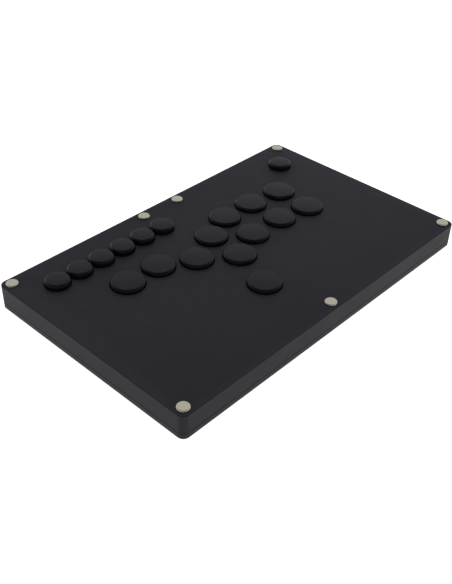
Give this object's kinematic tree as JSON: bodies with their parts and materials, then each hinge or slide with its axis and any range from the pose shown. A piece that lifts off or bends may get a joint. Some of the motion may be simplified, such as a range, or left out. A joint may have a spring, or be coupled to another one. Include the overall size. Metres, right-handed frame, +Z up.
{
  "type": "leverless arcade controller",
  "caption": "Flat all-button arcade controller: a two-part black case with low round push caps, flat-headed binding posts, rubber feet and a USB-C socket in the back edge.",
  "frame": {"origin": "below the middle of the case, on the surface that the feet stand on", "axes": "+X to the player's right along the long side, +Y away from the player towards the edge with the USB-C socket, +Z up"},
  "size_m": [0.29, 0.18, 0.0252],
  "materials": {
    "case": "smooth satin black",
    "caps": "fine matte texture, black",
    "post_nickel": "polished nickel plate",
    "screw_steel": "zinc-plated",
    "socket_steel": "drawn sheet",
    "foot_rubber": "matte",
    "board": "solder mask",
    "switch_housing": "moulded nylon"
  },
  "bodies": {
    "case": {"top_shell": "case", "bottom_plate": "case", "main_board": "board", "usb_socket": "socket_steel", "post_back_left": "post_nickel", "screw_back_left": "screw_steel", "post_port_left": "post_nickel", "screw_port_left": "screw_steel", "post_port_right": "post_nickel", "screw_port_right": "screw_steel", "post_back_right": "post_nickel", "screw_back_right": "screw_steel", "post_front_left": "post_nickel", "screw_front_left": "screw_steel", "post_front_middle": "post_nickel", "screw_front_middle": "screw_steel", "post_front_right": "post_nickel", "screw_front_right": "screw_steel", "foot_back_left": "foot_rubber", "foot_back_right": "foot_rubber", "foot_front_left": "foot_rubber", "foot_front_right": "foot_rubber", "switch_left": "switch_housing", "switch_down": "switch_housing", "switch_right": "switch_housing", "switch_up": "switch_housing", "switch_action_1": "switch_housing", "switch_action_2": "switch_housing", "switch_action_3": "switch_housing", "switch_action_4": "switch_housing", "switch_action_5": "switch_housing", "switch_action_6": "switch_housing", "switch_action_7": "switch_housing", "switch_action_8": "switch_housing", "switch_menu_1": "switch_housing", "switch_menu_2": "switch_housing", "switch_menu_3": "switch_housing", "switch_menu_4": "switch_housing", "switch_menu_5": "switch_housing", "switch_menu_6": "switch_housing", "switch_menu_7": "switch_housing"},
    "button_left": {"cap_left": "caps"},
    "button_down": {"cap_down": "caps"},
    "button_right": {"cap_right": "caps"},
    "button_up": {"cap_up": "caps"},
    "button_action_1": {"cap_action_1": "caps"},
    "button_action_2": {"cap_action_2": "caps"},
    "button_action_3": {"cap_action_3": "caps"},
    "button_action_4": {"cap_action_4": "caps"},
    "button_action_5": {"cap_action_5": "caps"},
    "button_action_6": {"cap_action_6": "caps"},
    "button_action_7": {"cap_action_7": "caps"},
    "button_action_8": {"cap_action_8": "caps"},
    "button_menu_1": {"cap_menu_1": "caps"},
    "button_menu_2": {"cap_menu_2": "caps"},
    "button_menu_3": {"cap_menu_3": "caps"},
    "button_menu_4": {"cap_menu_4": "caps"},
    "button_menu_5": {"cap_menu_5": "caps"},
    "button_menu_6": {"cap_menu_6": "caps"},
    "button_menu_7": {"cap_menu_7": "caps"}
  },
  "joints": [
    {"name": "press_left", "type": "slide", "parent": "case", "child": "button_left", "axis": [0, 0, -1], "range_m": [0, 0.003], "stiffness_N_per_m": 90, "springref_m": -0.003},
    {"name": "press_down", "type": "slide", "parent": "case", "child": "button_down", "axis": [0, 0, -1], "range_m": [0, 0.003], "stiffness_N_per_m": 90, "springref_m": -0.003},
    {"name": "press_right", "type": "slide", "parent": "case", "child": "button_right", "axis": [0, 0, -1], "range_m": [0, 0.003], "stiffness_N_per_m": 90, "springref_m": -0.003},
    {"name": "press_up", "type": "slide", "parent": "case", "child": "button_up", "axis": [0, 0, -1], "range_m": [0, 0.003], "stiffness_N_per_m": 90, "springref_m": -0.003},
    {"name": "press_action_1", "type": "slide", "parent": "case", "child": "button_action_1", "axis": [0, 0, -1], "range_m": [0, 0.003], "stiffness_N_per_m": 90, "springref_m": -0.003},
    {"name": "press_action_2", "type": "slide", "parent": "case", "child": "button_action_2", "axis": [0, 0, -1], "range_m": [0, 0.003], "stiffness_N_per_m": 90, "springref_m": -0.003},
    {"name": "press_action_3", "type": "slide", "parent": "case", "child": "button_action_3", "axis": [0, 0, -1], "range_m": [0, 0.003], "stiffness_N_per_m": 90, "springref_m": -0.003},
    {"name": "press_action_4", "type": "slide", "parent": "case", "child": "button_action_4", "axis": [0, 0, -1], "range_m": [0, 0.003], "stiffness_N_per_m": 90, "springref_m": -0.003},
    {"name": "press_action_5", "type": "slide", "parent": "case", "child": "button_action_5", "axis": [0, 0, -1], "range_m": [0, 0.003], "stiffness_N_per_m": 90, "springref_m": -0.003},
    {"name": "press_action_6", "type": "slide", "parent": "case", "child": "button_action_6", "axis": [0, 0, -1], "range_m": [0, 0.003], "stiffness_N_per_m": 90, "springref_m": -0.003},
    {"name": "press_action_7", "type": "slide", "parent": "case", "child": "button_action_7", "axis": [0, 0, -1], "range_m": [0, 0.003], "stiffness_N_per_m": 90, "springref_m": -0.003},
    {"name": "press_action_8", "type": "slide", "parent": "case", "child": "button_action_8", "axis": [0, 0, -1], "range_m": [0, 0.003], "stiffness_N_per_m": 90, "springref_m": -0.003},
    {"name": "press_menu_1", "type": "slide", "parent": "case", "child": "button_menu_1", "axis": [0, 0, -1], "range_m": [0, 0.003], "stiffness_N_per_m": 90, "springref_m": -0.003},
    {"name": "press_menu_2", "type": "slide", "parent": "case", "child": "button_menu_2", "axis": [0, 0, -1], "range_m": [0, 0.003], "stiffness_N_per_m": 90, "springref_m": -0.003},
    {"name": "press_menu_3", "type": "slide", "parent": "case", "child": "button_menu_3", "axis": [0, 0, -1], "range_m": [0, 0.003], "stiffness_N_per_m": 90, "springref_m": -0.003},
    {"name": "press_menu_4", "type": "slide", "parent": "case", "child": "button_menu_4", "axis": [0, 0, -1], "range_m": [0, 0.003], "stiffness_N_per_m": 90, "springref_m": -0.003},
    {"name": "press_menu_5", "type": "slide", "parent": "case", "child": "button_menu_5", "axis": [0, 0, -1], "range_m": [0, 0.003], "stiffness_N_per_m": 90, "springref_m": -0.003},
    {"name": "press_menu_6", "type": "slide", "parent": "case", "child": "button_menu_6", "axis": [0, 0, -1], "range_m": [0, 0.003], "stiffness_N_per_m": 90, "springref_m": -0.003},
    {"name": "press_menu_7", "type": "slide", "parent": "case", "child": "button_menu_7", "axis": [0, 0, -1], "range_m": [0, 0.003], "stiffness_N_per_m": 90, "springref_m": -0.003}
  ]
}
